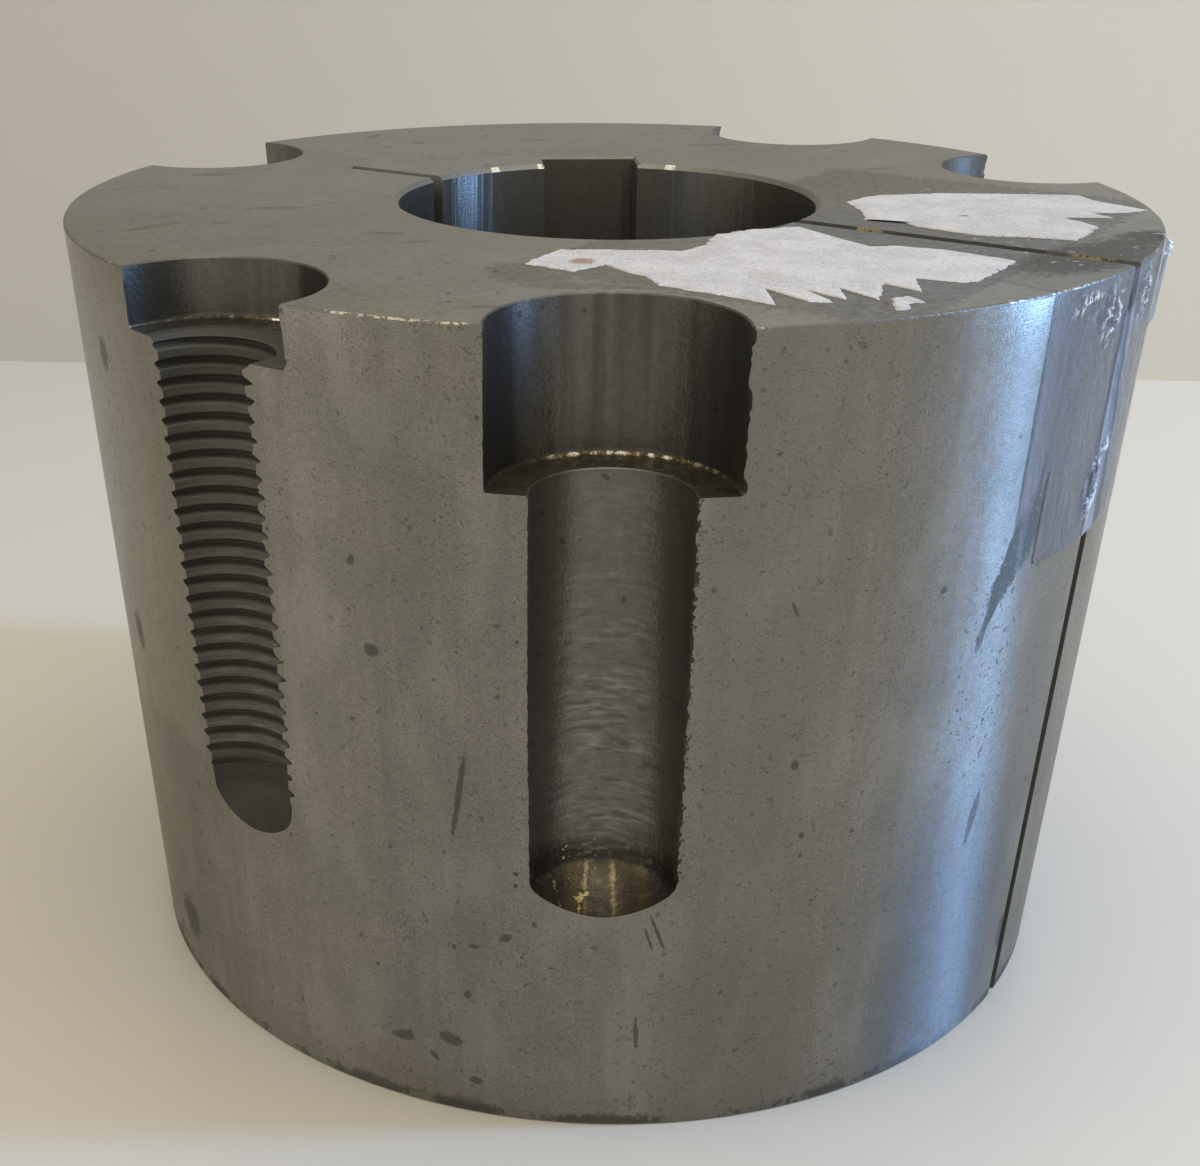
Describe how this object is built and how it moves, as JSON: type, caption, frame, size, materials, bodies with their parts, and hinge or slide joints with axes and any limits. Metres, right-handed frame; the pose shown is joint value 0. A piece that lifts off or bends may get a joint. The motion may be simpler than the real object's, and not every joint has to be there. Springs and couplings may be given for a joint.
{
  "type": "taper bush",
  "caption": "Split tapered bush that locks a pulley or sprocket hub onto a keyed shaft with screws in half-round holes on its rim.",
  "frame": {"origin": "centre of the small end face, on the axis of the bore", "axes": "+Z along the bore axis from the small end to the large end, +Y through the middle of the keyway"},
  "size_m": [0.1618, 0.1613, 0.1143],
  "materials": {
    "cast_iron": "machined grey cast iron, dry, with fine dark graphite specks and handling stains"
  },
  "bodies": {
    "root": {"taper_bush": "cast_iron"}
  },
  "joints": []
}
